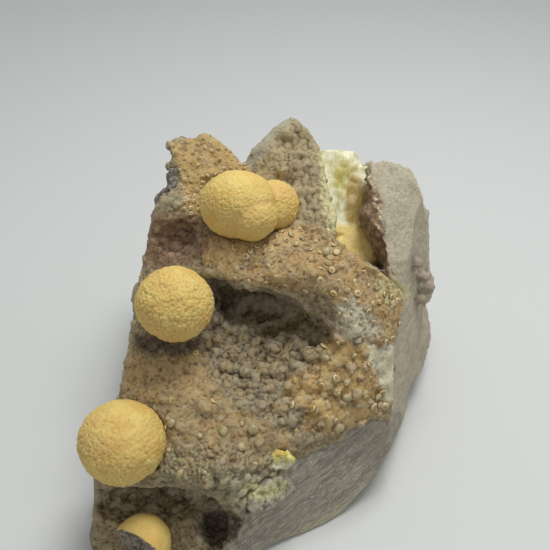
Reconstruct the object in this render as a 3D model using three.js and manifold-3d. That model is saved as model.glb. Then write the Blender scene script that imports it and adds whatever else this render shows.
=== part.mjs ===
// Golden calcite balls on a chunk of basalt whose open vug is lined with small brown nodules.
// Millimetres, +Z up. The specimen stands on its flat underside and its vug faces -Y.
import * as THREE from "three";
import { ConvexGeometry } from "three/addons/geometries/ConvexGeometry.js";
import { SimplexNoise } from "three/addons/math/SimplexNoise.js";
import { mergeVertices } from "three/addons/utils/BufferGeometryUtils.js";
import Module from "manifold-3d";

const wasm = await Module();
wasm.setup();

// Driving dimensions
const FACE_SLOPE = 50; // degrees that the open face lies back from level
const FACE_CENTRE = new THREE.Vector3(4.3, -18.3, 56.5); // middle of the open face, above the ground
const WIDENING = 161; // the block's sides meet this far in front of the face
const REACH = 40; // how far the cutting tools stand out in front of the face
const DEPTH = 95; // how far the block reaches behind the face
const LINING = 2.4; // thickness of the nodular lining
const LINING_FOOT = 1.5; // height above the ground where the lining ends
const GAP = 0.3; // free space between neighbouring pieces
const FINE = 4.7; // grid step of the open face
const COARSE = 7.2; // grid step under the lining
const ROUGH = 16; // grid step of a broken face
const UNDERSIDE_SLACK = 0.7; // keeps the plainer underside of the lining clear of its front

// Repeatable chance and waves
function seededRandom(seed) {
  const factor = 16807;
  const modulus = 2147483647;
  let state = seed;
  return () => {
    state = (state * factor) % modulus;
    return state / modulus;
  };
}
const simplex = new SimplexNoise({ random: seededRandom(71) });
const waves = (x, y, z, size, layer = 0) => simplex.noise3d(x / size, y / size, z / size + layer);

// The face's own frame: u to the right, v up the slope, w out of the rock
const faceToWorld = new THREE.Matrix4()
  .makeRotationX(THREE.MathUtils.degToRad(FACE_SLOPE))
  .setPosition(FACE_CENTRE);

// Solids from three.js geometry and back
function solidOf(geometry) {
  const bare = geometry.clone();
  bare.deleteAttribute("normal");
  bare.deleteAttribute("uv");
  const merged = mergeVertices(bare, 1e-4);
  return new wasm.Manifold(
    new wasm.Mesh({
      numProp: 3,
      vertProperties: merged.attributes.position.array,
      triVerts: new Uint32Array(merged.index.array),
    }),
  );
}

function geometryOf(solid) {
  const mesh = solid.getMesh();
  const geometry = new THREE.BufferGeometry();
  geometry.setAttribute("position", new THREE.BufferAttribute(Float32Array.from(mesh.vertProperties), 3));
  geometry.setIndex(new THREE.BufferAttribute(mesh.triVerts, 1));
  return geometry.toNonIndexed();
}

const joined = (solids) => solids.reduce((all, one) => all.add(one));

function largestBody(solid) {
  return solid.decompose().reduce((best, body) => (body.volume() > best.volume() ? body : best));
}

// Calls move(point) on every vertex of a geometry, in place
function moveVertices(geometry, move) {
  const places = geometry.getAttribute("position");
  const point = new THREE.Vector3();
  for (let i = 0; i < places.count; i++) {
    point.fromBufferAttribute(places, i);
    move(point);
    places.setXYZ(i, point.x, point.y, point.z);
  }
  return geometry;
}

// The turn and place that lay a shape's +Z along facing at a point
function facingPlace(on, facing) {
  const turn = new THREE.Quaternion().setFromUnitVectors(
    new THREE.Vector3(0, 0, 1),
    new THREE.Vector3(...facing).normalize(),
  );
  return new THREE.Matrix4().makeRotationFromQuaternion(turn).setPosition(...on);
}

// Outline of the open face, round its edge from the left peak to the right: [u, v] pairs
const OUTLINE = [
  [-25, 30], [-23.5, 31.5], [-18.5, 31.5], [-16.5, 33], [-13.5, 31.5], [-10.5, 29], [-7.2, 24.7],
  [-5.5, 29], [-3, 31], [-0.5, 34], [2.5, 36], [4, 36.5], [6, 35], [8.5, 32], [10.5, 29],
  [18.5, 28.5], [20.3, 25], [23, 26], [25, 26.5], [28.5, 25.5], [31.5, 23], [33.5, 19.5], [35, 14.5],
  [35.5, 3], [36.8, -1], [36.6, -4], [35.5, -6], [35.8, -16], [34.5, -22], [32.5, -25.5], [30.5, -31],
  [28, -37.5], [25.5, -42.5], [22.5, -47.5], [19.5, -50.5], [16, -54.5], [12, -57], [7, -59],
  [3, -60.5], [-3, -63], [-9, -69], [-17, -82], [-44, -82], [-43, -72], [-41.8, -56], [-41.3, -47],
  [-39, -35.5], [-35.5, -25.5], [-34.3, -19], [-32.6, -11.5], [-32, -4], [-31, 0.5], [-29.5, 7],
  [-28, 14], [-26.5, 18], [-24.3, 21], [-25, 25], [-23.5, 27],
];

// Height chart of the open face: rows of v with [u, w] pairs, w out of the mean plane
const CHART = [
  [34, [-16, -10], [4, -10], [26, -8]],
  [25, [-22, -8], [-14, -9], [-7, -10], [-1, -8], [7, -7], [13, -9], [24, -6], [30, -8]],
  [18, [-24, -6], [-17, -8], [-8, -9], [0, -8], [9, -6], [16, -5], [25, -2], [30, -3], [36, -9]],
  [15.5, [-27, -1], [-22.5, -1], [-16, -7]],
  [9, [-28, -7], [-23, -9], [-17, -4], [-6, -5], [6, -5], [14, -4], [26, -1], [35, -6]],
  [3, [-30, -8], [-20, -4], [-13, 0], [-3, 1], [6, 2], [15, 1], [22, 0], [28, -1], [37, -7]],
  [-3.5, [-30, -6], [-23, -4], [-14, 2], [-6, 3], [3, 4], [10, 4], [17, 3], [24, 0], [31, -4]],
  [-10, [-32, -6], [-25, -6], [-12, -6], [-6, -11], [3, -12], [9, -7], [15, 4], [21, 2], [28, -4]],
  [-17, [-29, -4], [-20, -5], [-13, -8], [-6, -9], [3, -9], [11, -3], [17, 2], [24, -2]],
  [-23, [-33, -4], [-26, -1], [-17, -2], [-9, -6], [-1, -6], [8, -3], [16, 1], [25, -3]],
  [-29, [-35, -2], [-26, 2], [-17, 2], [-8, -2], [1, -2], [10, 1], [20, -1], [27, -8]],
  [-35.5, [-33, 1], [-25, 4], [-17, 6], [-8, 4], [1, 3], [10, 0], [17, -2]],
  [-41, [-28, 5], [-19, 8], [-10, 8], [-2, 5], [4, 2]],
  [-47, [-35, 2], [-28, 5], [-19, 6], [-11, 9], [-4, 8], [1, 4]],
  [-52, [-36, -3], [-28, -4], [-19, -5], [-13, -6], [-8, 6], [-3, 6]],
  [-58, [-38, -3], [-31, -4], [-23, -5], [-16, -7], [-11, -4], [-8, 2]],
  [-64, [-39, -5], [-31, -6], [-23, -5], [-16, -4], [-10, 1]],
  [-76, [-40, -13], [-28, -12], [-16, -11]],
].flatMap(([v, ...pairs]) => pairs.map(([u, w]) => ({ u, v, w })));
const CHART_BLUR = 3.4; // how far one mark of the chart is felt
const CHART_TAIL = 1e-9; // lets the nearest marks fill the gaps between them
const BROAD_CRUMPLE = { size: 9, height: 0.7, layer: 3 };
const SMALL_CRUMPLE = { size: 4, height: 0.35, layer: 8 };

// Height of the open face at (u, v)
function relief(u, v) {
  let sum = 0;
  let weights = 0;
  for (const mark of CHART) {
    const apart = Math.hypot(u - mark.u, v - mark.v) / CHART_BLUR;
    const weight = Math.exp(-0.5 * apart * apart) + CHART_TAIL / (1 + apart * apart);
    sum += weight * mark.w;
    weights += weight;
  }
  const crumple = ({ size, height, layer }) => height * waves(u, v, 0, size, layer);
  return sum / weights + crumple(BROAD_CRUMPLE) + crumple(SMALL_CRUMPLE);
}

// Everything in front of the open face, lowered into the rock by sink
function spaceInFront(sink, step) {
  const width = 96;
  const height = 132;
  const middle = [-3, -20];
  const box = new THREE.BoxGeometry(
    width, height, 2, Math.round(width / step), Math.round(height / step), 1,
  );
  box.translate(...middle, 0);
  moveVertices(box, (p) => {
    p.z = p.z > 0 ? REACH : relief(p.x, p.y) - sink;
  });
  return solidOf(box.applyMatrix4(faceToWorld));
}

// A lumpy ball: centre and half axes in the face's frame, turned about w
function lumpyBall({ at, half, turn = 0, detail, lumps }, grow) {
  const ball = new THREE.IcosahedronGeometry(1, detail);
  moveVertices(ball, (p) => {
    const lumpy = 1 + lumps * simplex.noise3d(1.8 * p.x + at[0], 1.8 * p.y + at[1], 1.8 * p.z);
    p.set(p.x * (half[0] + grow), p.y * (half[1] + grow), p.z * (half[2] + grow));
    p.multiplyScalar(lumpy);
  });
  ball.rotateZ(THREE.MathUtils.degToRad(turn)).translate(...at);
  return solidOf(ball.applyMatrix4(faceToWorld));
}

// The gas bubbles that undercut the face
const BUBBLES = [
  { name: "under the middle ledge", at: [-3, -8.5, -7], half: [12.5, 6.5, 13], turn: -14, detail: 2 },
  { name: "left end of that hollow", at: [-13.5, -4.5, -3.5], half: [5.5, 5, 8], turn: -10, detail: 1 },
  { name: "right end of that hollow", at: [8.5, -13, -5], half: [6, 4.5, 9], turn: -20, detail: 1 },
  { name: "below the left shoulder", at: [-23.5, 8.5, -4], half: [6.5, 5, 6], turn: 10, detail: 1 },
  { name: "under the lower ledge", at: [-29, -53.5, -3], half: [15.5, 6, 10], turn: 0, detail: 2 },
  { name: "deep hole at its right end", at: [-15, -57.5, -4], half: [4.8, 7, 8.5], turn: 12, detail: 1 },
].map((one) => ({ ...one, lumps: 0.09 }));

// The vug: the space in front of the face and its bubbles, sunk into the rock by sink
function vug(sink, step) {
  const plain = sink > 0;
  const bubbles = BUBBLES.map((one) =>
    plain ? lumpyBall({ ...one, detail: 1 }, sink + UNDERSIDE_SLACK) : lumpyBall(one, 0),
  );
  return joined([spaceInFront(sink, step), ...bubbles]);
}

// The block behind the outline. It widens backwards, its crest sinks to the saddle's height, and its
// sides taper and wear rougher behind the face.
const CREST = { height: 37, behind: -14, fall: 0.42, saddle: 23 };
const WEAR = { behind: -12, rate: 0.07, size: 10.5, taper: 0.0006 };

function outlineBlock() {
  const shape = new THREE.Shape(OUTLINE.map(([u, v]) => new THREE.Vector2(u, v)));
  const block = new THREE.ExtrudeGeometry(shape, {
    depth: REACH + DEPTH,
    steps: 5,
    bevelEnabled: false,
  });
  block.translate(0, 0, -DEPTH);
  moveVertices(block, (p) => {
    const crest = CREST.height - CREST.fall * Math.max(0, CREST.behind - p.z);
    const behind = Math.max(0, WEAR.behind - p.z);
    const spread = (1 - WEAR.taper * behind) * ((WIDENING - p.z) / WIDENING);
    const worn = WEAR.rate * behind;
    const u = p.x * spread;
    const v = Math.min(p.y, Math.max(crest, CREST.saddle)) * spread;
    p.x = u + worn * waves(u, v, p.z, WEAR.size);
    p.y = v + worn * waves(u, v, p.z, WEAR.size, 40);
  });
  return solidOf(block.applyMatrix4(faceToWorld));
}

// Broken faces: a point on each, its outward direction, and how far it waves in and out
const BREAKS = [
  { name: "lower right, in streaks", on: [9.7, -45.4, 28.5], facing: [0.455, -0.87, 0.2], wave: 0.7 },
  { name: "right", on: [32.8, -33.8, 22], facing: [0.915, -0.38, 0.14], wave: 1.2 },
  { name: "right, behind", on: [52, 16, 25], facing: [0.84, 0.5, 0.2], wave: 1.8 },
  { name: "back", on: [8, 37, 22], facing: [0.1, 0.98, 0.16], wave: 2 },
  { name: "back of the peaks", on: [6, 21, 82], facing: [0.06, 0.86, 0.5], wave: 2 },
  { name: "left, behind", on: [-38, 22, 26], facing: [-0.78, 0.58, 0.22], wave: 1.8 },
  { name: "left", on: [-42, -22, 18], facing: [-0.98, -0.1, 0.16], wave: 1.2 },
  { name: "front foot", on: [-25, -64, 8], facing: [-0.16, -0.94, -0.3], wave: 0.6 },
  { name: "under the lower right", on: [21.5, -49.5, 3], facing: [0.5, -0.6, -0.62], wave: 0 },
  { name: "under the right", on: [47, -6, 9], facing: [0.7, -0.2, -0.68], wave: 0 },
  { name: "under the back", on: [6, 36, 9], facing: [0, 0.72, -0.69], wave: 0 },
  { name: "under the left", on: [-42, -10, 8], facing: [-0.74, 0.1, -0.66], wave: 0 },
];
const BREAK_SPAN = 190;
const BREAK_DEPTH = 60;
const BREAK_WAVE_SIZE = 19;

function breakAway(solid, { on, facing, wave }) {
  const segments = wave > 0 ? Math.round(BREAK_SPAN / ROUGH) : 1;
  const slab = new THREE.BoxGeometry(BREAK_SPAN, BREAK_SPAN, BREAK_DEPTH, segments, segments, 1);
  slab.translate(0, 0, 0.5 * BREAK_DEPTH);
  moveVertices(slab, (p) => {
    const onFace = p.z < 0.5 * BREAK_DEPTH;
    if (onFace) p.z += wave * waves(p.x + on[0], p.y + on[1], on[2], BREAK_WAVE_SIZE);
  });
  return solid.subtract(solidOf(slab.applyMatrix4(facingPlace(on, facing))));
}

function levelBelow(solid, height) {
  const span = 300;
  const ground = new THREE.BoxGeometry(span, span, span).translate(0, 0, height - 0.5 * span);
  return solid.subtract(solidOf(ground));
}

// Knobs that stand out of the right edge: [u, v, w, radius]
const KNOBS = [
  [35.2, 2.9, -11.2, 1.7], [37.6, -0.3, -16.3, 1.9], [39.9, -3.2, -22, 2.3], [37.4, -6.1, -18.2, 1.8],
];

function knob([u, v, w, radius]) {
  const ball = new THREE.IcosahedronGeometry(radius, 1).translate(u, v, w);
  return solidOf(ball.applyMatrix4(faceToWorld));
}

// The cleft beside the right shoulder, cut by two wedges that narrow into the rock: [u, v] pairs
const CLEFT_MOUTH = 8;
const CLEFT_FLOOR = -14;
const CLEFT = [
  {
    mouth: [[10, 31], [20.5, 31], [20.3, 25], [23.5, 21.5], [25.5, 18], [23, 14], [14, 15], [11.5, 24]],
    floor: [[11, 32], [21, 32], [20.8, 25], [20.5, 18], [18.5, 14], [14.5, 15], [12.5, 24]],
  },
  {
    mouth: [[15, 15], [23.3, 15], [24.5, 7], [26.5, 0.3], [21, 2.5], [14, 8.3]],
    floor: [[15, 15], [18.5, 14], [18.5, 9], [20, 5], [26.5, 1], [20.5, 4], [14.6, 9]],
  },
];

function cleft() {
  const wedges = CLEFT.map(({ mouth, floor }) => {
    const corners = [
      ...mouth.map(([u, v]) => new THREE.Vector3(u, v, CLEFT_MOUTH)),
      ...floor.map(([u, v]) => new THREE.Vector3(u, v, CLEFT_FLOOR)),
    ];
    return solidOf(new ConvexGeometry(corners).applyMatrix4(faceToWorld));
  });
  return joined(wedges);
}

// Area of the face that carries the lining: [u, v] pairs
const LINED_AREA = [
  [-60, -90], [40, -90], [40, -5], [30, -4.5], [27.5, -2], [24.5, 0.3], [20.3, 3.5], [17.3, 6],
  [13.4, 8], [14.3, 10.8], [15.8, 13.8], [15.8, 16], [15, 19.5], [14, 25], [13, 29], [13, 45],
  [-40, 45], [-40, 26.8], [-23.6, 26.2], [-22.8, 23], [-23.4, 20.4], [-26, 19], [-60, 18.8],
];

function linedArea(grow) {
  const shape = new THREE.Shape(LINED_AREA.map(([u, v]) => new THREE.Vector2(u, v)));
  const shifts = grow > 0 ? [[1, 1], [1, -1], [-1, 1], [-1, -1]] : [[0, 0]];
  const walls = shifts.map(([u, v]) => {
    const wall = new THREE.ExtrudeGeometry(shape, { depth: 3 * REACH, bevelEnabled: false });
    return solidOf(wall.translate(u * grow, v * grow, -1.5 * REACH).applyMatrix4(faceToWorld));
  });
  return joined(walls);
}

// Calcite balls: centre and half axes in the face's frame
const BALLS = {
  upperLarge: { at: [-8.6, 16.4, -2], half: [8.8, 7.7, 8.3], detail: 2, lumps: 0.03 },
  upperSmall: { at: [-0.6, 16.5, -3], half: [6, 6.1, 5.9], detail: 2, lumps: 0.03 },
  middle: { at: [-22.6, -6.5, 3], half: [9, 8.8, 8.7], detail: 2, lumps: 0.03 },
  lower: { at: [-34.3, -37.4, 5], half: [10, 9.8, 9.9], detail: 2, lumps: 0.02 },
  broken: { at: [-30.5, -62, -1], half: [6.8, 6.7, 6.7], detail: 2, lumps: 0.03 },
};
const ball = (name, grow = 0) => lumpyBall(BALLS[name], grow);
const BROKEN_BALL_CUT = { on: [-31.3, -62.6, 0.1], facing: [-0.46, -0.64, 0.62] };

// The split calcite in the cleft: a tall ball with a smaller one grown below it
const CLEFT_CALCITE = [
  { at: [16.5, 19.5, -17], half: [8.5, 15, 8.5], detail: 2, lumps: 0.03 },
  { at: [19.5, 5.5, -17], half: [8.5, 8.5, 8.5], detail: 1, lumps: 0.03 },
];
const CLEFT_CALCITE_CUT = { on: [17, 15, -11.5], facing: [0.1, 0.2, 1] };
const cleftCalcite = (grow) => joined(CLEFT_CALCITE.map((one) => lumpyBall(one, grow)));

// Splits a piece flat at a point of the face's frame, and drops the side that facing points to
function splitFlat(solid, { on, facing }) {
  const span = 80;
  const slab = new THREE.BoxGeometry(span, span, span).translate(0, 0, 0.5 * span);
  slab.applyMatrix4(facingPlace(on, facing)).applyMatrix4(faceToWorld);
  return solid.subtract(solidOf(slab));
}

// The yellow flake stuck on the rim above the streaked break
const FLAKE = { at: [1.5, -41.6], half: [2.6, 2.2], thickness: 1, sides: 7, tilt: 18, rise: 0.4 };

function flake(grow) {
  const [u, v] = FLAKE.at;
  const chip = new THREE.CylinderGeometry(0.9, 1.1, 1, FLAKE.sides);
  chip.rotateX(0.5 * Math.PI);
  chip.scale(FLAKE.half[0] + grow, FLAKE.half[1] + grow, FLAKE.thickness + 2 * grow);
  chip.rotateX(THREE.MathUtils.degToRad(FLAKE.tilt));
  chip.translate(u, v, relief(u, v) + FLAKE.rise);
  return solidOf(chip.applyMatrix4(faceToWorld));
}

// Nodules: oval patches of a jittered lattice, each with its middle, half axes, spacing and radius
const NODULES = [
  { name: "floor of the middle hollow", at: [-1, -26], half: [16, 13], spacing: 4.4, radius: 2 },
  { name: "middle peak", at: [2.5, 25], half: [5, 10], spacing: 5.5, radius: 1.5 },
  { name: "left peak", at: [-16, 25], half: [5, 5], spacing: 5.5, radius: 1.4 },
  { name: "upper ledge", at: [8, 1], half: [17, 4], spacing: 8, radius: 1.5 },
  { name: "right edge", at: [22, -20], half: [5, 12], spacing: 7.5, radius: 1.6 },
  { name: "lower left slope", at: [-26, -28], half: [7, 12], spacing: 8, radius: 1.6 },
  { name: "lower ledge", at: [-10, -45], half: [12, 4.5], spacing: 4.6, radius: 1.9 },
];
const NODULE_JITTER = 0.3;
const NODULE_ROOM = 0.75; // closest two nodules come, in spacings
const NODULE_RISE = 0.25; // height of a nodule's middle above the face, in radii

function noduleSpots() {
  const random = seededRandom(9);
  const jitter = () => NODULE_JITTER * (random() - 0.5);
  const spots = [];
  for (const { at, half, spacing, radius } of NODULES) {
    const rowStep = spacing * Math.sin(Math.PI / 3);
    const rows = Math.floor(half[1] / rowStep);
    const columns = Math.ceil(half[0] / spacing);
    for (let row = -rows; row <= rows; row++) {
      for (let column = -columns; column <= columns; column++) {
        const u = at[0] + (column + 0.5 * (row % 2) + jitter()) * spacing;
        const v = at[1] + row * rowStep + jitter() * spacing;
        const inside = ((u - at[0]) / half[0]) ** 2 + ((v - at[1]) / half[1]) ** 2 < 1;
        const free = spots.every((one) => Math.hypot(u - one.u, v - one.v) > NODULE_ROOM * spacing);
        if (inside && free) spots.push({ u, v, radius: radius * (0.8 + 0.4 * random()) });
      }
    }
  }
  return spots;
}

function nodule({ u, v, radius }) {
  const knob = new THREE.IcosahedronGeometry(radius, 0);
  knob.rotateX(5 * u).rotateY(3 * v);
  knob.translate(u, v, relief(u, v) + NODULE_RISE * radius);
  return solidOf(knob.applyMatrix4(faceToWorld));
}

// The whole chunk before the vug is cut, standing on the level
const chunk = levelBelow(BREAKS.reduce(breakAway, outlineBlock()), 0);
const cleftSpace = cleft();
const sockets = joined([...Object.keys(BALLS).map((name) => ball(name, GAP)), cleftCalcite(GAP)]);

// The rock, with the vug, the cleft and a socket for each calcite
const basalt = largestBody(
  chunk
    .subtract(spaceInFront(0, FINE))
    .subtract(cleftSpace)
    .subtract(vug(LINING + GAP, COARSE).intersect(linedArea(GAP)))
    .add(joined(KNOBS.map(knob)))
    .subtract(sockets),
);

// The lining, with its nodules
const bubbleSpace = joined(BUBBLES.map((one) => lumpyBall(one, 0)));
const nodules = joined(noduleSpots().map(nodule)).subtract(bubbleSpace);
const lining = largestBody(
  levelBelow(
    chunk
      .intersect(vug(LINING, COARSE))
      .intersect(linedArea(0))
      .subtract(vug(0, FINE).subtract(nodules))
      .subtract(cleftSpace)
      .subtract(sockets)
      .subtract(flake(GAP)),
    LINING_FOOT,
  ),
);

// The calcite
const ballPair = ball("upperLarge").add(ball("upperSmall"));
const brokenBall = splitFlat(ball("broken"), BROKEN_BALL_CUT);
const cleftBall = largestBody(splitFlat(cleftCalcite(0).intersect(chunk), CLEFT_CALCITE_CUT));

// Materials
const finish = (color, roughness) =>
  new THREE.MeshStandardMaterial({ color, roughness, metalness: 0 });
const BASALT = finish("#85796c", 0.9);
const BROWN_LINING = finish("#806345", 0.85);
const GOLDEN_CALCITE = finish("#d9ae62", 0.75);
const PALE_CALCITE = finish("#d3d49a", 0.45);
const YELLOW_FLAKE = finish("#d8b84a", 0.6);

// The specimen, with the middle of its underside at the origin
const specimen = new THREE.Group();
function addPiece(name, solid, material) {
  const mesh = new THREE.Mesh(geometryOf(solid), material);
  mesh.name = name;
  specimen.add(mesh);
}
addPiece("basalt_matrix", basalt, BASALT);
addPiece("nodular_lining", lining, BROWN_LINING);
addPiece("calcite_ball_pair_upper", ballPair, GOLDEN_CALCITE);
addPiece("calcite_ball_middle", ball("middle"), GOLDEN_CALCITE);
addPiece("calcite_ball_lower", ball("lower"), GOLDEN_CALCITE);
addPiece("calcite_ball_broken", brokenBall, GOLDEN_CALCITE);
addPiece("calcite_in_cleft", cleftBall, PALE_CALCITE);
addPiece("yellow_flake", flake(0), YELLOW_FLAKE);

const extent = new THREE.Box3().setFromObject(specimen);
const middle = extent.getCenter(new THREE.Vector3());
specimen.position.set(-middle.x, -middle.y, -extent.min.z);

export default specimen;
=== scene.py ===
import math
import random
from itertools import product

import bmesh
import bpy
import numpy as np
from mathutils import Color, Euler, Matrix, Vector, noise
from mathutils.bvhtree import BVHTree
from mathutils.kdtree import KDTree


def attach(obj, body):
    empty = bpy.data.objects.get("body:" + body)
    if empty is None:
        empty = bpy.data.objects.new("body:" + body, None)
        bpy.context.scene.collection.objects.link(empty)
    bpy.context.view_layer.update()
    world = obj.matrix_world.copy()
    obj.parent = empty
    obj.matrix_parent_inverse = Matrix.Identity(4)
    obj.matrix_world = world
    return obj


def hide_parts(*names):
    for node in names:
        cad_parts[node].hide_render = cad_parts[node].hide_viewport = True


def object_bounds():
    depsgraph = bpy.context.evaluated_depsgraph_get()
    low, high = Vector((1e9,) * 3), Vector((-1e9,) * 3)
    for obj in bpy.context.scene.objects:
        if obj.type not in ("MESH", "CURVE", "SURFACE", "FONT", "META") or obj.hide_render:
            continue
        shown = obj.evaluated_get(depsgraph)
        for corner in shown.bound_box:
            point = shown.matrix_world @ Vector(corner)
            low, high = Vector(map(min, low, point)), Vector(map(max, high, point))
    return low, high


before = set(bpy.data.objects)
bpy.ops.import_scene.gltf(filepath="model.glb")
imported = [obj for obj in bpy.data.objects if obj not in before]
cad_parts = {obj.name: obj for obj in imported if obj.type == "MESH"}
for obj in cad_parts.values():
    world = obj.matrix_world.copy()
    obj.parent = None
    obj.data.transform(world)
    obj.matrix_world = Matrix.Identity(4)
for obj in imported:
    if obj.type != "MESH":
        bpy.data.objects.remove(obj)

cad_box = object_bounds()

# Noise vectors follow this seed, and without it the clock
noise.seed_set(5)

# The photograph's camera: its eye, its downward look, and its frame in picture steps
EYE = np.array([-1.3334, -131.2327, 160.0])
LOOKING_DOWN = math.radians(40)
AHEAD = np.array([0.0, math.cos(LOOKING_DOWN), -math.sin(LOOKING_DOWN)])
UPWARD = np.array([0.0, math.sin(LOOKING_DOWN), math.cos(LOOKING_DOWN)])
PICTURE = 550
FOCUS = 700
SENSOR = 36
PER_METRE = 1000

# The open face's own frame: u to the right, v up the slope, w out of the rock
FACE_MIDDLE = np.array([-1.3334, -7.9327, 56.5])
FACE_AXES = np.array([[1.0, 0.0, 0.0], UPWARD, -AHEAD])

# Steps of the remeshed surfaces, and the most triangles that a piece keeps
ROCK_STEP = 0.55
PLAIN_CRUST_STEP = 0.6
CRUST_STEP = 0.31
CALCITE_STEP = 0.22
PAIR_STEP = 0.17
BREAK_STEP = 0.15
CHIP_STEP = 0.1
MOST_TRIANGLES = 192_000

# How far the crust rises where the rock hides it, and how near to a vertex a line of sight must come
HIDDEN_LIFT = 0.42
SIGHT_SLACK = 1.5

# Two places of the picture on one streak of the lower right break, and about where that break faces
STREAK_ENDS = ((262, 528), (380, 436))
BREAK_FACING = (0.46, -0.88, 0.08)

# The side on which the balls' grain is finest
FINE_SIDE = np.array([0.42, -0.1, 0.9])

# The floor, in metres: how far it lies under the specimen, and half its side
FLOOR_DROP = 0.0001
FLOOR_REACH = 3

# The soft box, in metres and watts, the point that it faces, and the light of the room
BOX_PLACE = (0.08, 0.06, 0.44)
BOX_SIDE = 0.18
BOX_POWER = 1.22
BOX_AIM = (0, 0, 0.04)
ROOM_LIGHT = 0.43

# Calcite balls: middle and half axes in the face's frame
BALLS = {
    "upper_large": ((-8.6, 16.4, -1.4), (8.8, 7.7, 8.3)),
    "upper_lobe": ((-5.4, 13.5, -0.2), (5.8, 5.6, 6.6)),
    "upper_small": ((-0.5, 16.5, -6.2), (6.1, 6.0, 5.8)),
    "middle": ((-22.6, -6.5, 3), (8.6, 8.35, 8.5)),
    "lower": ((-34.0, -37.2, 5), (9.45, 9.1, 9.5)),
    "broken": ((-30.6, -62, -1), (6.5, 6.4, 6.5)),
}
BROKEN_BALL_CUT = ((-31.3, -62.6, 0.1), (-0.46, -0.64, 0.62))
SPLIT_MIDDLE = (16.5, 19.5, -17)
BALL_GROWTH = 0.1
EDGE_KNOBS = [(35.2, 2.9, -11.2), (37.6, -0.3, -16.3), (39.9, -3.2, -22), (37.4, -6.1, -18.2)]

# Hollows that undercut the face: middle and half axes in the face's frame
HOLLOWS = [
    ((-3, -8.5, -7), (12.5, 6.5, 13)),
    ((8.5, -13, -5), (6, 4.5, 9)),
    ((-23.5, 8.5, -4), (6.5, 5, 6)),
    ((-13.5, -4.5, -3.5), (5.5, 5, 8)),
    ((-29, -53.5, -3), (15.5, 6, 10)),
    ((-15, -57.5, -4), (4.8, 7, 8.5)),
]

# Areas of the face, as outlines in picture steps
HOLLOW_FLOOR = [
    (193, 322), (222, 314), (250, 330), (285, 340), (318, 336), (334, 350), (338, 368), (330, 386),
    (318, 398), (312, 414), (292, 426), (262, 418), (236, 402), (218, 384), (204, 360), (192, 340),
]
RUSTY_RIGHT = [
    (318, 338), (340, 328), (372, 338), (392, 350), (391, 402), (366, 424), (338, 434), (306, 430),
    (304, 414), (284, 400), (282, 378), (304, 366), (326, 356),
]
RUSTY_BAND = [
    (200, 240), (232, 238), (262, 236), (300, 224), (325, 228), (352, 246), (372, 262), (388, 275),
    (412, 288), (404, 312), (396, 345), (372, 338), (345, 330), (335, 300), (318, 290), (280, 290),
    (250, 282), (228, 280), (208, 262),
]
RUSTY_LEFT_PEAK = [
    (170, 146), (205, 130), (245, 156), (250, 172), (220, 174), (202, 192), (202, 216), (184, 214),
    (182, 190), (180, 165),
]
SLOPE = [
    (126, 366), (160, 352), (192, 345), (215, 380), (240, 402), (300, 432), (300, 448), (283, 456),
    (262, 474), (225, 468), (170, 474), (165, 430), (150, 400),
]
CENTRE_PEAK = [
    (247, 155), (270, 125), (292, 112), (300, 118), (322, 148), (330, 190), (340, 215), (336, 236),
    (300, 224), (290, 190), (262, 176), (250, 170),
]
RED_RECESS = [(150, 214), (186, 213), (206, 226), (207, 248), (190, 264), (160, 266), (144, 268)]
GREY_FACET = [
    (243, 160), (256, 142), (270, 126), (286, 114), (298, 113), (290, 126), (276, 138), (262, 156),
    (252, 168),
]
GREY_SHOULDER = [(150, 192), (180, 188), (192, 200), (190, 215), (150, 216)]
PALE_DRUSE = [(338, 306), (350, 296), (374, 310), (380, 330), (364, 344), (345, 340), (334, 322)]
PALE_EDGE = [(370, 346), (394, 348), (394, 398), (386, 402), (378, 376), (369, 360)]
LIME_FILM = [(374, 276), (388, 273), (411, 286), (410, 303), (386, 308), (375, 294)]
LEDGE_LUMPS = [
    (214, 478), (240, 468), (285, 474), (296, 490), (264, 508), (240, 516), (224, 506), (212, 490),
]
LEDGE_BAND = [
    (150, 446), (200, 440), (250, 446), (288, 458), (300, 480), (262, 482), (215, 486), (150, 486),
]
HOLLOW_LIP = [
    (203, 276), (228, 275), (252, 286), (278, 294), (292, 306), (292, 316), (318, 320), (328, 338),
    (312, 344), (258, 340), (225, 322), (206, 318),
]
LOWER_DARK = [
    (80, 480), (150, 477), (200, 480), (222, 494), (243, 510), (243, 530), (226, 552), (190, 524),
    (110, 540), (80, 560),
]
LIME_SPOTS = [(238, 488), (250, 478), (268, 482), (288, 474), (291, 488), (274, 501), (248, 503)]
DUSKY_CORNER = [(338, 438), (374, 414), (396, 408), (396, 436), (372, 462), (346, 462), (330, 450)]
PALE_CORNER = [(291, 452), (300, 450), (296, 474), (290, 494), (276, 504), (280, 490), (288, 474)]
LEFT_SLOPE = [
    (128, 350), (150, 357), (192, 346), (210, 368), (214, 394), (180, 396), (140, 402), (120, 392),
]
BELOW_UPPER_PAIR = [
    (200, 238), (232, 240), (265, 240), (300, 226), (304, 240), (270, 258), (235, 264), (208, 260),
]
LIP_SHADOW = [(203, 278), (226, 280), (242, 290), (236, 312), (220, 328), (206, 320)]
LOWER_HOLE = [(204, 513), (232, 509), (244, 519), (241, 540), (227, 551), (207, 546), (199, 528)]
UNDER_MIDDLE_BALL = [
    (134, 332), (152, 334), (178, 342), (198, 334), (206, 348), (182, 357), (150, 354), (134, 348),
]
GREY_BESIDE_HOLE = [
    (243, 506), (252, 503), (268, 508), (258, 552), (222, 554), (228, 545), (237, 537), (242, 527),
]
GOLDEN_PART = [(345, 190), (351, 172), (360, 176), (369, 200), (368, 228), (352, 236), (345, 216)]
OLIVE_PART = [(331, 166), (342, 161), (356, 163), (357, 184), (350, 197), (338, 197), (333, 182)]
CALCITE_CRUMBS = [
    (318, 146), (325, 150), (329, 175), (335, 205), (345, 228), (340, 240), (328, 230), (320, 196),
]
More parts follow.
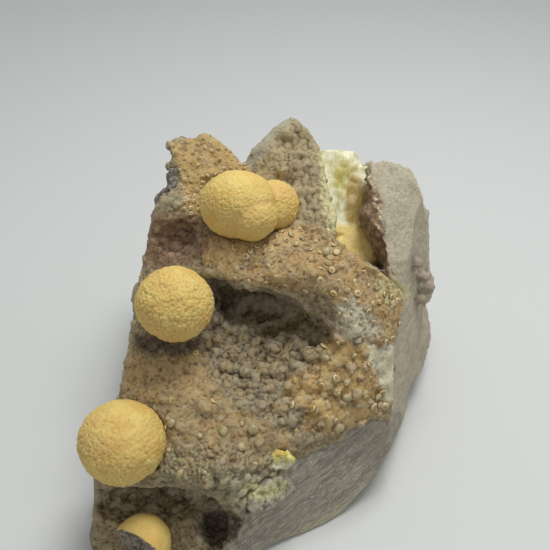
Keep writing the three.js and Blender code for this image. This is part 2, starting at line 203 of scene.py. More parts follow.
STREAKED_BREAK = [
    (392, 411), (374, 415), (342, 437), (308, 447), (295, 451), (293, 473), (287, 494), (270, 504),
    (248, 511), (240, 518), (233, 540), (228, 560), (330, 560), (410, 480), (420, 420),
]
GREENISH_RIM = [
    (405, 452), (414, 458), (392, 490), (350, 520), (300, 548), (240, 562), (300, 530), (345, 500),
]
RIGHT_LUMP = [
    (362, 160), (385, 150), (440, 170), (450, 300), (404, 305), (392, 285), (389, 272), (380, 205),
]
CLEFT_WALL = [(356, 176), (376, 186), (385, 205), (392, 275), (384, 280), (352, 240), (352, 205)]
DARK_ROCK = [(150, 158), (182, 160), (184, 180), (178, 197), (168, 203), (150, 200)]
LUMP_EDGE = [
    (355, 163), (361, 163), (367, 172), (373, 184), (379, 196), (381, 210), (381, 224), (384, 244),
    (387, 260), (394, 276), (386, 276), (378, 260), (375, 244), (373, 224), (373, 210), (368, 196),
    (363, 184), (358, 174),
]

# Nodules of each area, first match first: how far apart they are and the range of their radii, then
# how far their middles stand out of the crust and how flat they are, in shares of the radius
NODULES = [
    (PALE_EDGE, 0, (0.4, 0.7), -0.2, 0.6),
    (RED_RECESS, 4.0, (0.6, 1.2), -0.4, 0.6),
    (LEDGE_LUMPS, 3.1, (1.1, 2.1), -0.1, 0.7),
    (RUSTY_RIGHT, 3.2, (0.6, 1.35), 0.05, 0.85),
    (HOLLOW_FLOOR, 2.4, (0.75, 1.4), -0.15, 0.66),
    (PALE_DRUSE, 3.6, (0.35, 0.6), -0.2, 0.8),
    (CENTRE_PEAK, 2.9, (0.55, 1.0), -0.3, 0.6),
    (RUSTY_LEFT_PEAK, 5.5, (0.4, 0.8), -0.4, 0.55),
    (LEFT_SLOPE, 2.6, (0.7, 1.3), -0.15, 0.45),
    (SLOPE, 3.2, (0.5, 1.15), -0.2, 0.7),
    (RUSTY_BAND, 4.6, (0.5, 1.0), -0.35, 0.7),
]
NODULES_ELSEWHERE = (3.2, (0.6, 1.4), -0.3, 0.66)

# Glassy beads by distance apart and radii, and the single greenish ones, in picture steps
BEADS = [
    (PALE_EDGE, 0, (0.3, 0.5)),
    (RUSTY_BAND, 2.5, (0.38, 0.95)),
    (RUSTY_LEFT_PEAK, 1.25, (0.3, 0.7)),
    (RUSTY_RIGHT, 4.0, (0.45, 1.1)),
    (PALE_DRUSE, 2.2, (0.3, 0.6)),
    (SLOPE, 6.0, (0.35, 0.9)),
]
GREEN_BEADS = [
    (172, 423), (200, 436), (224, 431), (241, 447), (181, 475), (205, 472), (241, 424), (253, 429),
    (326, 252), (347, 397), (326, 358), (377, 396), (379, 405), (308, 340),
]

# Where the crust's own relief is held back: outlines with their shares and soft edges
CALM = [
    (PALE_EDGE, 0.8, 3), (RUSTY_BAND, 0.1, 8), (RED_RECESS, 0.4, 5), (SLOPE, 0.4, 10),
    (RUSTY_LEFT_PEAK, 0.65, 5), (CENTRE_PEAK, 0.7, 7), (GREY_FACET, 0.8, 3), (RUSTY_RIGHT, 0.45, 6),
]

# What each material shows where, in the same way
CRUST_MARKS = {
    "rusty": [
        (RUSTY_BAND, 1, 6), (RUSTY_LEFT_PEAK, 1, 5), (RUSTY_RIGHT, 1, 14), (SLOPE, 0.45, 12),
        (LEFT_SLOPE, 0.5, 10),
    ],
    "pale_rust": [(RUSTY_LEFT_PEAK, 1, 6)],
    "orange": [(RUSTY_RIGHT, 1, 16)],
    # Painted light: lighter colour below the upper pair and on the left slope, where the balls' shadows fall
    "painted_light": [(BELOW_UPPER_PAIR, 0.8, 6), (LEFT_SLOPE, 0.6, 10)],
    "peak": [(CENTRE_PEAK, 1, 8)],
    "facet": [(GREY_FACET, 1, 3)],
    "recess": [(RED_RECESS, 1, 7)],
    "crumbs": [(CALCITE_CRUMBS, 1, 5)],
    # Painted shade and shadow: the hollows' lips and holes, below the middle ball and in the red recess
    "shade": [
        (HOLLOW_LIP, 0.1, 5), (LOWER_DARK, 0.05, 6), (LOWER_HOLE, 1, 4), (UNDER_MIDDLE_BALL, 0.9, 6),
        (LIP_SHADOW, 0.75, 5), (RED_RECESS, 0.22, 6),
    ],
    "slate": [(GREY_BESIDE_HOLE, 1, 2)],
    "druse": [(PALE_DRUSE, 1, 8)],
    "pale": [(PALE_EDGE, 1, 6)],
    "ledge": [(LEDGE_LUMPS, 1, 6), (LEDGE_BAND, 0.55, 9), (GREY_SHOULDER, 0.7, 5)],
    "lime": [(LIME_FILM, 0.75, 7), (LIME_SPOTS, 1, 9)],
}
SEEN_ROCK_MARKS = {
    "granular": [(RIGHT_LUMP, 1, 3)],
    "dark": [(DARK_ROCK, 1, 3)],
    "film": [(LIME_FILM, 1, 7)],
    "ledge": [(LEDGE_LUMPS, 1, 4)],
    "lime": [(LIME_SPOTS, 1, 9)],
}
BREAK_MARKS = {
    "low_rim": [(GREENISH_RIM, 1, 5)],
    "dusky": [(DUSKY_CORNER, 1, 9)],
    "chalky": [(PALE_CORNER, 1, 3)],
}


# Colour, place and noise


def paint(code):
    """A colour from its usual six-figure code."""
    red, green, blue = (int(code[i : i + 2], 16) / 255 for i in (1, 3, 5))
    return (*Color((red, green, blue)).from_srgb_to_scene_linear(), 1.0)


def on_face(u, v, w):
    """A point of the specimen from its place in the open face's frame."""
    return FACE_MIDDLE + np.array([u, v, w]) @ FACE_AXES


def off_face(points):
    """The places of points in the open face's frame."""
    return (points - FACE_MIDDLE) @ FACE_AXES.T


def seen_at(points):
    """Where points show in the photograph's frame, in picture steps from its upper left corner."""
    away = points - EYE
    depth = away @ AHEAD
    right = PICTURE / 2 + FOCUS * away[:, 0] / depth
    down = PICTURE / 2 - FOCUS * (away @ UPWARD) / depth
    return np.column_stack([right, down])


def sight_through(right, down):
    """The direction from the eye through a place of the picture."""
    sight = AHEAD * FOCUS + UPWARD * (PICTURE / 2 - down)
    sight[0] += right - PICTURE / 2
    return Vector(sight).normalized()


def depth_inside(outline, places):
    """How deep each place lies inside an outline; outside it, the distance to it below zero."""
    corners = np.array(outline, float)
    nearest = np.full(len(places), np.inf)
    within = np.zeros(len(places), bool)
    for start, end in zip(corners, np.roll(corners, -1, axis=0)):
        side = end - start
        along = np.clip((places - start) @ side / (side @ side), 0, 1)
        apart = np.linalg.norm(places - start - along[:, None] * side, axis=1)
        nearest = np.minimum(nearest, apart)
        if side[1]:
            spans = (start[1] > places[:, 1]) != (end[1] > places[:, 1])
            within ^= spans & (places[:, 0] < start[0] + (places[:, 1] - start[1]) * side[0] / side[1])
    return np.where(within, nearest, -nearest)


def inside(outline, places, soft):
    """Rises from 0 to 1 across an outline's edge, over that many picture steps each way."""
    return smooth_step(-soft, soft, depth_inside(outline, places))


def most_of(areas, places):
    """The most that any of some areas gives each place: each is an outline, its share and its softness."""
    return np.maximum.reduce([share * inside(outline, places, soft) for outline, share, soft in areas])


def smooth_step(low, high, values):
    """Rises softly from 0 at low to 1 at high."""
    share = np.clip((values - low) / (high - low), 0, 1)
    return share * share * (3 - 2 * share)


def waves(points, size, layer=0.0):
    """Smooth noise round zero at each point, with swells of about that size."""
    return np.array([noise.noise(p) for p in (points / size + 17.3 * layer).tolist()])


def drift(points, reach, size, layers):
    """Smooth shifts of about that reach, with swells of that size, one column for each layer."""
    return reach * np.column_stack([waves(points, size, layer) for layer in layers])


def pillows(points, size, layer=0.0):
    """Rounded swells from 0 up, parted by sharp winding creases."""
    return np.abs(waves(points, size, layer))


def grains(points, size, layer=0.0):
    """Rounded grains of about that size, packed side by side: 1 on top of each, 0 between them."""
    nearest = [noise.voronoi(p)[0][0] for p in (points / size + 17.3 * layer).tolist()]
    return np.clip(1 - np.square(nearest), 0, 1)


def chips(points, size):
    """Heights from about -0.5 to 0.5 for flat chips of that size, each tilted its own way."""
    heights = []
    for point in (points / size).tolist():
        reach, middles = noise.voronoi(point)
        tilts = [(Vector(point) - middle).dot(noise.noise_vector(middle * 5.3)) for middle in middles[:2]]
        border = max(0.0, 0.5 - (reach[1] - reach[0]) / 0.1)
        heights.append(tilts[0] + (tilts[1] - tilts[0]) * border)
    return np.array(heights)


# Work on meshes


def mesh_of(shape, name="shape"):
    """A mesh from a bmesh, which is then put away."""
    mesh = bpy.data.meshes.new(name)
    shape.to_mesh(mesh)
    shape.free()
    return mesh


def working_copy(node):
    """A CAD node's mesh in millimetres, with its loose triangles joined."""
    shape = bmesh.new()
    shape.from_mesh(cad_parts[node].data)
    bmesh.ops.remove_doubles(shape, verts=shape.verts, dist=1e-6)
    bmesh.ops.transform(shape, matrix=Matrix.Scale(PER_METRE, 4), verts=shape.verts)
    return mesh_of(shape)


def through(mesh, *steps, group=None):
    """The mesh that comes out of a row of modifiers, each given as its kind and settings."""
    carrier = bpy.data.objects.new("carrier", mesh)
    bpy.context.scene.collection.objects.link(carrier)
    if group is not None:
        carrier.vertex_groups.new(name="group").add(group.tolist(), 1.0, "REPLACE")
    for kind, settings in steps:
        modifier = carrier.modifiers.new(kind, kind)
        for key, value in settings.items():
            setattr(modifier, key, value)
    graph = bpy.context.evaluated_depsgraph_get()
    result = bpy.data.meshes.new_from_object(carrier.evaluated_get(graph))
    bpy.data.objects.remove(carrier)
    return result


def triangles_of(mesh):
    """How many triangles a mesh's faces come to."""
    return sum(len(p.vertices) - 2 for p in mesh.polygons)


def thinned(mesh, hidden):
    """Thins out what lies hidden, then the rest where it is plainest, until the piece is light enough."""
    ratio = 1 - 0.95 * float(np.mean(hidden))
    thin = {"ratio": ratio, "vertex_group": "group"}
    mesh = through(mesh, ("DECIMATE", thin), group=np.flatnonzero(hidden))
    ratio = MOST_TRIANGLES / triangles_of(mesh)
    return through(mesh, ("DECIMATE", {"ratio": ratio})) if ratio < 1 else mesh


def remeshed(mesh, step, smoothing=0, factor=0.5):
    """The mesh made even, with small quads of that size, and smoothed."""
    steps = [("REMESH", {"mode": "VOXEL", "voxel_size": step, "adaptivity": 0.0})]
    if smoothing:
        steps.append(("SMOOTH", {"factor": factor, "iterations": smoothing}))
    return through(mesh, *steps)


def joined(*meshes):
    """Several meshes as one."""
    shape = bmesh.new()
    for mesh in meshes:
        shape.from_mesh(mesh)
    return mesh_of(shape)


def points_of(mesh):
    """Where the vertices are."""
    flat = np.empty(3 * len(mesh.vertices), np.float32)
    mesh.vertices.foreach_get("co", flat)
    return flat.reshape(-1, 3).astype(float)


def place_points(mesh, points):
    """Puts the vertices at new places."""
    mesh.vertices.foreach_set("co", points.astype(np.float32).ravel())
    mesh.update()


def normals_of(mesh):
    """Which way the surface faces at each vertex."""
    flat = np.empty(3 * len(mesh.vertices), np.float32)
    mesh.vertex_normals.foreach_get("vector", flat)
    return flat.reshape(-1, 3).astype(float)


def raise_surface(mesh, heights):
    """Moves each vertex out along its normal by its height."""
    place_points(mesh, points_of(mesh) + normals_of(mesh) * heights[:, None])


def evened(mesh, values, times=1):
    """Each vertex's value replaced by the mean of its neighbours', a number of times."""
    ends = np.empty(2 * len(mesh.edges), np.int32)
    mesh.edges.foreach_get("vertices", ends)
    first, second = ends.reshape(-1, 2).T
    count = len(mesh.vertices)
    degree = np.maximum(np.bincount(ends, minlength=count), 1)
    for _ in range(times):
        total = np.bincount(first, values[second], count) + np.bincount(second, values[first], count)
        values = total / degree
    return values


def hollowness(mesh):
    """How far the neighbours of each vertex rise above it: over zero in creases, under zero on crests."""
    points = points_of(mesh)
    around = np.column_stack([evened(mesh, points[:, axis]) for axis in range(3)])
    return np.einsum("ij,ij->i", around - points, normals_of(mesh))


def mark(mesh, name, values):
    """Keeps a value from 0 to 1 at each vertex, for the materials."""
    layer = mesh.attributes.new(name, "FLOAT", "POINT")
    layer.data.foreach_set("value", np.clip(values, 0, 1).astype(np.float32))


def mark_creases(mesh, depth):
    """Marks how deep in a crease and how high on a crest each vertex is, for painted shade in creases and
    painted highlight on crests.
    """
    hollow = hollowness(mesh) / depth
    broad = evened(mesh, hollow, 2)
    mark(mesh, "crease", 0.5 * hollow + 0.8 * broad)
    mark(mesh, "crest", -0.5 * hollow - 0.8 * broad)


def tree_of(mesh):
    """A mesh's faces, made ready for rays and for nearest places."""
    return BVHTree.FromPolygons(points_of(mesh).tolist(), [p.vertices[:] for p in mesh.polygons])


def covered(mesh, cover, reach=1.6):
    """Whether each vertex has that solid just in front of it."""
    pairs = zip(points_of(mesh).tolist(), normals_of(mesh).tolist())
    return np.array([cover.ray_cast(point, normal, reach)[0] is not None for point, normal in pairs])


def in_sight(mesh):
    """Whether the photograph's eye sees each vertex, softened round the edges of what it sees."""
    surface = tree_of(mesh)
    eye = Vector(EYE)
    seen = []
    for point in points_of(mesh).tolist():
        sight = Vector(point) - eye
        seen.append(surface.ray_cast(eye, sight, sight.length - SIGHT_SLACK)[0] is None)
    return evened(mesh, np.array(seen, float), 3)


def finished(name, mesh, material, slot, *nodes):
    """A piece of the specimen, kept in the CAD's box, that stands for its CAD nodes."""
    low, high = (np.array(corner) * PER_METRE for corner in cad_box)
    place_points(mesh, np.clip(points_of(mesh), low, high) / PER_METRE)
    mesh.name = name
    mesh.materials.clear()
    mesh.materials.append(material)
    mesh.shade_smooth()
    piece = bpy.data.objects.new(name, mesh)
    bpy.context.scene.collection.objects.link(piece)
    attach(piece, "root")
    if nodes:
        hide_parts(*nodes)
    print(f"{name}: {triangles_of(mesh)} triangles")


# Small balls spread over a surface

AROUND = list(product((-1, 0, 1), repeat=3))


def scattered(points, apart, chance):
    """Picks points in a repeatable order so that none is nearer to another than its distance apart."""
    order = [i for i in range(len(points)) if apart[i] > 0]
    chance.shuffle(order)
    cell = max(apart)
    taken = {}
    picked = []
    for i in order:
        point = points[i]
        home = tuple(int(c // cell) for c in point)
        rivals = (j for a, b, c in AROUND for j in taken.get((home[0] + a, home[1] + b, home[2] + c), ()))
        if all(math.dist(point, points[j]) > 0.5 * (apart[i] + apart[j]) for j in rivals):
            taken.setdefault(home, []).append(i)
            picked.append(i)
    return picked


def knobs(places, turns, sizes, marks):
    """One small ball at each place, turned and stretched its own way, all as one mesh."""
    spots = bmesh.new()
    for place in places:
        spots.verts.new(place)
    mesh = mesh_of(spots)
    for name, values in (("turn", turns), ("size", sizes)):
        layer = mesh.attributes.new(name, "FLOAT_VECTOR", "POINT")
        layer.data.foreach_set("vector", np.array(values, np.float32).ravel())
    for name, values in marks.items():
        mark(mesh, name, np.array(values))
    group = bpy.data.node_groups.new("small_balls", "GeometryNodeTree")
    group.interface.new_socket("Geometry", in_out="INPUT", socket_type="NodeSocketGeometry")
    group.interface.new_socket("Geometry", in_out="OUTPUT", socket_type="NodeSocketGeometry")
    nodes, links = group.nodes, group.links
    came = nodes.new("NodeGroupInput")
    leaves = nodes.new("NodeGroupOutput")
    ball = nodes.new("GeometryNodeMeshIcoSphere")
    ball.inputs["Subdivisions"].default_value = 2
    stands = nodes.new("GeometryNodeInstanceOnPoints")
    made_real = nodes.new("GeometryNodeRealizeInstances")
    for name, socket in (("turn", "Rotation"), ("size", "Scale")):
        named = nodes.new("GeometryNodeInputNamedAttribute")
        named.data_type = "FLOAT_VECTOR"
        named.inputs["Name"].default_value = name
        links.new(named.outputs["Attribute"], stands.inputs[socket])
    links.new(came.outputs[0], stands.inputs["Points"])
    links.new(ball.outputs["Mesh"], stands.inputs["Instance"])
    links.new(stands.outputs["Instances"], made_real.inputs["Geometry"])
    links.new(made_real.outputs["Geometry"], leaves.inputs[0])
    return through(mesh, ("NODES", {"node_group": group}))


# The balls


def lumpy_ball(name, subdivisions):
    """A ball with the low, broad lumps of grown calcite."""
    middle, half = BALLS[name]
    stretch = np.array(half) + BALL_GROWTH
    shape = bmesh.new()
    bmesh.ops.create_icosphere(shape, subdivisions=subdivisions, radius=1)
    mesh = mesh_of(shape)
    unit = points_of(mesh)
    place_points(mesh, on_face(*middle) + (unit * stretch) @ FACE_AXES)
    raise_surface(mesh, 0.22 * waves(points_of(mesh), 6.5, 3) + 0.16 * waves(points_of(mesh), 2.8, 5))
    return mesh


def wrinkle(mesh, middle, smooth_side, amount=1.0, size=1.0):
    """The grained skin: small knobs packed side by side, finer to the upper right."""
    points = points_of(mesh)
    outward = points - on_face(*middle)
    outward /= np.linalg.norm(outward, axis=1)[:, None]
    facing = outward @ FINE_SIDE
    rough = 1 - smooth_side * smooth_step(0.1, 0.9, facing + 0.4 * waves(points, 5, 9))
    bent = (points + drift(points, 0.3, 1.3, (20, 21, 22))) / size
    knobby = 0.34 * grains(bent, 0.92, 1) + 0.24 * grains(bent, 0.55, 2) + 0.2 * pillows(bent, 1.7, 4)
    raise_surface(mesh, amount * ((0.25 + 0.85 * rough) * (knobby - 0.4) + 0.14 * waves(points, 2.2, 6)))
    mark(mesh, "rough", rough)
    mark_creases(mesh, 0.045 / size**2)


def whole_ball(name, smooth_side):
    """A ball that shows all round but for its root."""
    mesh = lumpy_ball(name, 7)
    wrinkle(mesh, BALLS[name][0], smooth_side)
    return mesh


def ball_pair():
    """Two balls grown together, as one closed skin."""
    balls = [lumpy_ball(name, 5) for name in ("upper_large", "upper_lobe", "upper_small")]
    mesh = remeshed(joined(*balls), PAIR_STEP, 3)
    wrinkle(mesh, BALLS["upper_large"][0], 0.35, amount=0.75, size=0.78)
    return mesh


def broken_ball():
    """The ball at the foot, with a rough break across it."""
    cut, facing = BROKEN_BALL_CUT
    cut_place = Vector(on_face(*cut))
    cut_facing = Vector(np.array(facing) @ FACE_AXES).normalized()
    shape = bmesh.new()
    shape.from_mesh(lumpy_ball("broken", 5))
    everything = shape.verts[:] + shape.edges[:] + shape.faces[:]
    bmesh.ops.bisect_plane(shape, geom=everything, plane_co=cut_place, plane_no=cut_facing, clear_outer=True)
    rim = [edge for edge in shape.edges if edge.is_boundary]
    bmesh.ops.holes_fill(shape, edges=rim)
    mesh = remeshed(mesh_of(shape), BREAK_STEP, 2)
    points = points_of(mesh)
    height = (points - np.array(cut_place)) @ np.array(cut_facing)
    broken = smooth_step(-0.45, -0.1, height)
    jagged = 0.8 * waves(points, 2.4, 6) + 0.8 * grains(points, 1.3, 7) + 0.5 * waves(points, 0.7, 8)
    raise_surface(mesh, broken * (jagged - 0.8))
    wrinkle(mesh, BALLS["broken"][0], 0.6, amount=0.5)
    mark(mesh, "broken", broken)
    return mesh


def split_calcite():
    """The split calcite in the cleft: its break is finely fibrous, and golden skin lies below."""
    mesh = remeshed(working_copy("calcite_in_cleft"), CALCITE_STEP, 6)
    points = points_of(mesh)
    away = (points - on_face(*SPLIT_MIDDLE)) @ FACE_AXES.T
    upper = smooth_step(-8.5, -6.2, away[:, 1] + 0.8 * waves(points, 2.5, 3))
    facing = normals_of(mesh) @ FACE_AXES.T
    split = upper * smooth_step(0.55, 0.85, facing[:, 2])
    drawn_out = away @ np.array([[1.0, 0.2, 0.2], [-0.15, 0.22, 0.1], [0.1, 0.0, 0.4]])
    broad = 0.5 * waves(points, 4.2, 4) + 0.35 * pillows(points, 3.2, 5)
    fibres = 0.26 * pillows(drawn_out, 1.1, 1) + 0.16 * pillows(drawn_out, 0.5, 2)
    skin = 0.14 * pillows(points, 0.9, 8) + 0.4 * waves(points, 4, 9)
    raise_surface(mesh, split * (broad + fibres - 0.2) + (1 - split) * skin * 0.6)
    mark(mesh, "split", upper)
    place = seen_at(points) + drift(points, 3, 2.4, (12, 13))
    mark(mesh, "golden", inside(GOLDEN_PART, place, 4))
    mark(mesh, "olive", inside(OLIVE_PART, place, 4))
    mark(mesh, "rim", smooth_step(-4.0, -6.2, away[:, 0] + 0.5 * waves(points, 1.6, 14)))
    mark_creases(mesh, 0.06)
    return mesh


def yellow_chip():
    """The bright flake stuck on the rim, ragged at its edge."""
    mesh = remeshed(working_copy("yellow_flake"), CHIP_STEP, 4)
    points = points_of(mesh)
    raise_surface(mesh, 0.9 * waves(points, 1.5, 5) + 0.3 * pillows(points, 0.5, 6))
    place = seen_at(points)
    mark(mesh, "whitish", smooth_step(457, 464, place[:, 1] + 6 * waves(points, 1.0, 2)))
    mark_creases(mesh, 0.03)
    return mesh


# The crust and its nodules


def in_hollows(points, slack=1.5):
    """Whether each point lies in one of the undercut hollows."""
    local = off_face(points)
    found = np.zeros(len(points), bool)
    for middle, half in HOLLOWS:
        found |= (((local - middle) / (np.array(half) + slack)) ** 2).sum(1) < 1
    return found


def clear_of_balls(points, room):
    """Whether each point is that far from every calcite ball."""
    local = off_face(points)
    found = np.ones(len(points), bool)
    for middle, half in BALLS.values():
        found &= np.linalg.norm(local - middle, axis=1) > max(half) + room
    return found


def growth_spots(mesh, areas, elsewhere, chance, hidden, clustering):
    """Places on the crust for small balls: each has its point, normal, radius, lift and flatness."""
    points, normals = points_of(mesh), normals_of(mesh)
    place = seen_at(points) + drift(points, 3, 4, (30, 31))
    open_side = (normals @ FACE_AXES[2] > 0.3) | in_hollows(points)
    open_side &= clear_of_balls(points, 0.4)
    area = np.full(len(points), -1)
    for number, (outline, *_) in reversed(list(enumerate(areas))):
        area[depth_inside(outline, place) > 0] = number
    apart = np.zeros(len(points))
    for number, (_, distance, *_) in enumerate(areas):
        apart[area == number] = distance
    if elsewhere:
        apart[area < 0] = elsewhere[0]
    apart *= 1 + clustering * waves(points, 7, 33)
    apart[~open_side | hidden] = 0
    spots = []
    for i in scattered(points.tolist(), apart.tolist(), chance):
        _, radii, *shape = areas[area[i]][1:] if area[i] >= 0 else elsewhere
        radius = radii[0] + (radii[1] - radii[0]) * chance.random() ** 1.5
        spots.append((points[i], normals[i], radius, *shape))
    return spots


def turned_to(normal, chance):
    """The turn that stands a ball's axis along a normal, spun by chance."""
    spin = Matrix.Rotation(chance.uniform(0, 2 * math.pi), 3, "Z")
    return (Vector(normal).to_track_quat("Z", "Y").to_matrix() @ spin).to_euler()


def nodules_on(mesh, hidden, chance):
    """The nodules of the crust, as one mesh, and their middles with their radii."""
    spots = growth_spots(mesh, NODULES, NODULES_ELSEWHERE, chance, hidden, 0.35)
    places, turns, sizes, balls = [], [], [], []
    for point, normal, radius, lift, flat in spots:
        middle = point + normal * radius * lift
        stretch = chance.uniform(0.82, 1.2)
        places.append(middle)
        turns.append(turned_to(normal, chance))
        sizes.append((radius * stretch, radius / stretch, radius * flat))
        balls.append((*middle, radius))
    return knobs(places, turns, sizes, {}), np.array(balls)


def nodularity(points, balls):
    """How much each point belongs to a nodule."""
    finder = KDTree(len(balls))
    for i, ball in enumerate(balls):
        finder.insert(ball[:3], i)
    finder.balance()
    nearest = np.empty(len(points))
    for k, point in enumerate(points.tolist()):
        _, i, apart = finder.find(point)
        nearest[k] = apart / balls[i, 3]
    return smooth_step(1.22, 0.98, nearest)


def smooth_crust(rock):
    """The lining without its nodules: soft where it is open, and true to its edges along the rock."""
    sharp = remeshed(working_copy("nodular_lining"), PLAIN_CRUST_STEP, 2)
    soft = through(sharp.copy(), ("SMOOTH", {"factor": 0.5, "iterations": 20}))
    points = points_of(sharp)
    apart = np.array([rock.find_nearest(point)[3] for point in points.tolist()])
    share = smooth_step(0.7, 2.4, apart)[:, None]
    place_points(sharp, points * (1 - share) + points_of(soft) * share)
    points = points_of(sharp)
    swell = 0.5 * waves(points, 4.5, 1) + 0.4 * waves(points, 2.2, 2)
    swell += 1.4 * inside(BELOW_UPPER_PAIR, seen_at(points), 8)
    raise_surface(sharp, share[:, 0] * swell)
    points = points_of(sharp)
    lip = share * inside(HOLLOW_LIP, seen_at(points), 12)[:, None]
    for axis, layer in ((FACE_AXES[0], 13), (FACE_AXES[1], 15)):
        shift = 1.7 * waves(points, 4.2, layer) + 1.0 * waves(points, 1.9, layer + 1)
        points = points + lip * shift[:, None] * axis
    place_points(sharp, points)
    return sharp


def crust_relief(mesh, on_nodule):
    """How far the crust's grain, cobbles and lumps rise at each vertex."""
    points = points_of(mesh)
    place = seen_at(points) + drift(points, 4, 3, (40, 41))
    floor = inside(HOLLOW_FLOOR, place, 9) * (1 - 0.5 * inside(RUSTY_RIGHT, place, 6))
    peak = inside(CENTRE_PEAK, place, 7)
    band = inside(LEDGE_BAND, place, 6)
    slope_lumps = inside(SLOPE, place, 10) * (0.3 + 0.15 * smooth_step(225, 190, place[:, 0]))
    inner = evened(mesh, in_hollows(points, 0.4).astype(float), 8)
    bent = points + drift(points, 0.5, 1.9, (70, 71, 72))
    cobbles = grains(bent * np.array([0.75, 1, 1]), 2.0, 1) + 0.22 * grains(bent, 1.0, 2) - 0.68
    bumps = 0.6 * grains(bent * np.array([1, 1, 0.7]), 1.3, 3) + 0.3 * waves(points, 2.6, 9) - 0.35
    bumps += 0.5 * band * (grains(bent, 0.75, 4) - 0.6)
    fine = np.maximum(peak, 0.8 * band)
    cobbles = cobbles * (1 - fine) + bumps * fine
    faceted = peak * (1 - inside(GREY_FACET, place, 3))
    packed = np.maximum.reduce([1.15 * floor, faceted, slope_lumps, 0.9 * inner, 1.3 * band])
    film = 0.24 * waves(points, 1.6, 4) + 0.3 * pillows(points, 1.15, 5) + 0.2 * waves(points, 0.7, 6) - 0.08
    film = film * (1 - most_of(CALM, place)) * (1 - on_nodule)
    lumps = 0.18 * waves(points, 1.1, 7) + 0.2 * waves(points, 0.6, 8)
    return film + lumps * on_nodule + packed * (1 - 0.5 * on_nodule) * cobbles


def nodular_crust(rock):
    """The lining of the vug, with its nodules grown fast to it."""
    plain = smooth_crust(rock)
    knob_mesh, balls = nodules_on(plain, covered(plain, rock), random.Random(7))
    mesh = remeshed(joined(plain, knob_mesh), CRUST_STEP, 1, 0.3)
    hidden = covered(mesh, rock, 1.3)
    heights = crust_relief(mesh, nodularity(points_of(mesh), balls))
    raise_surface(mesh, np.where(hidden, HIDDEN_LIFT, heights))
    mesh = thinned(mesh, hidden)
    mark_crust(mesh, balls)
    return mesh


def mark_crust(mesh, balls):
    """Marks the crust's areas for its material."""
    points = points_of(mesh)
    place = seen_at(points) + drift(points, 4, 3, (40, 41))
    for name, areas in CRUST_MARKS.items():
        mark(mesh, name, most_of(areas, place))
    bare = inside(HOLLOW_FLOOR, place, 12) * (1 - 0.8 * inside(RUSTY_RIGHT, place, 16))
    mark(mesh, "grey", np.maximum(bare, 0.3 * inside(CENTRE_PEAK, place, 6)))
    # Marks the insides of the hollows, where the crust's material paints light over their shade
    mark(mesh, "inner", evened(mesh, in_hollows(points, -0.5).astype(float), 4))
    mark(mesh, "nodule", nodularity(points, balls))
    mark_creases(mesh, 0.07)


def glassy_beads(mesh, rock):
    """The tiny glassy beads that dot the crust, as one mesh."""
    chance = random.Random(11)
    areas = [(outline, apart, radii, 0, 0) for outline, apart, radii in BEADS]
    spots = growth_spots(mesh, areas, None, chance, covered(mesh, rock), 0.7)
    surface = tree_of(mesh)
    places, turns, sizes, green, ups = [], [], [], [], []

    def add(point, normal, radius, greenness):
        places.append(point + normal * radius * 0.08)
        turns.append(turned_to(normal, chance))
        sizes.append((radius, radius * chance.uniform(0.65, 1.1), radius * chance.uniform(0.5, 0.75)))
        green.append(greenness)
        ups.append(normal / radius)

    for point, normal, radius, *_ in spots:
        add(point, normal, radius, 0)
    for right, down in GREEN_BEADS:
        hit, normal, *_ = surface.ray_cast(Vector(EYE), sight_through(right, down))
        if hit is not None:
            add(np.array(hit) + 0.2 * np.array(normal), np.array(normal), chance.uniform(0.8, 1.25), 1)
    beads = knobs(places, turns, sizes, {"green": green})
    balls = points_of(beads).reshape(len(places), -1, 3) - np.array(places)[:, None]
    # How high up its bead each vertex lies, for the painted highlight ring and the painted shade at the foot
    mark(beads, "top", np.einsum("ijk,ik->ij", balls, np.array(ups)).ravel())
    return beads


# The rock


def streak_axes(surface):
    """The direction of the streaks on the lower right break, the one across them, and the break's own."""
    low, high = (surface.ray_cast(Vector(EYE), sight_through(*end))[0] for end in STREAK_ENDS)
    along = (high - low).normalized()
    out = Vector(BREAK_FACING)
    out = (out - along * out.dot(along)).normalized()
    return Matrix((along, out.cross(along), out))


def knob_nearness(points):
    """How near each point is to the knobs of the right edge, from 0 to 1."""
    local = off_face(points)
    apart = np.min([np.linalg.norm(local - middle, axis=1) for middle in EDGE_KNOBS], axis=0)
    return smooth_step(3.4, 2.0, apart)


def on_break(place, normals, axes, seen):
    """How much each vertex belongs to the streaked break."""
    front = smooth_step(0.1, 0.45, normals @ np.array(axes[2]))
    return inside(STREAKED_BREAK, place, 3) * front * seen


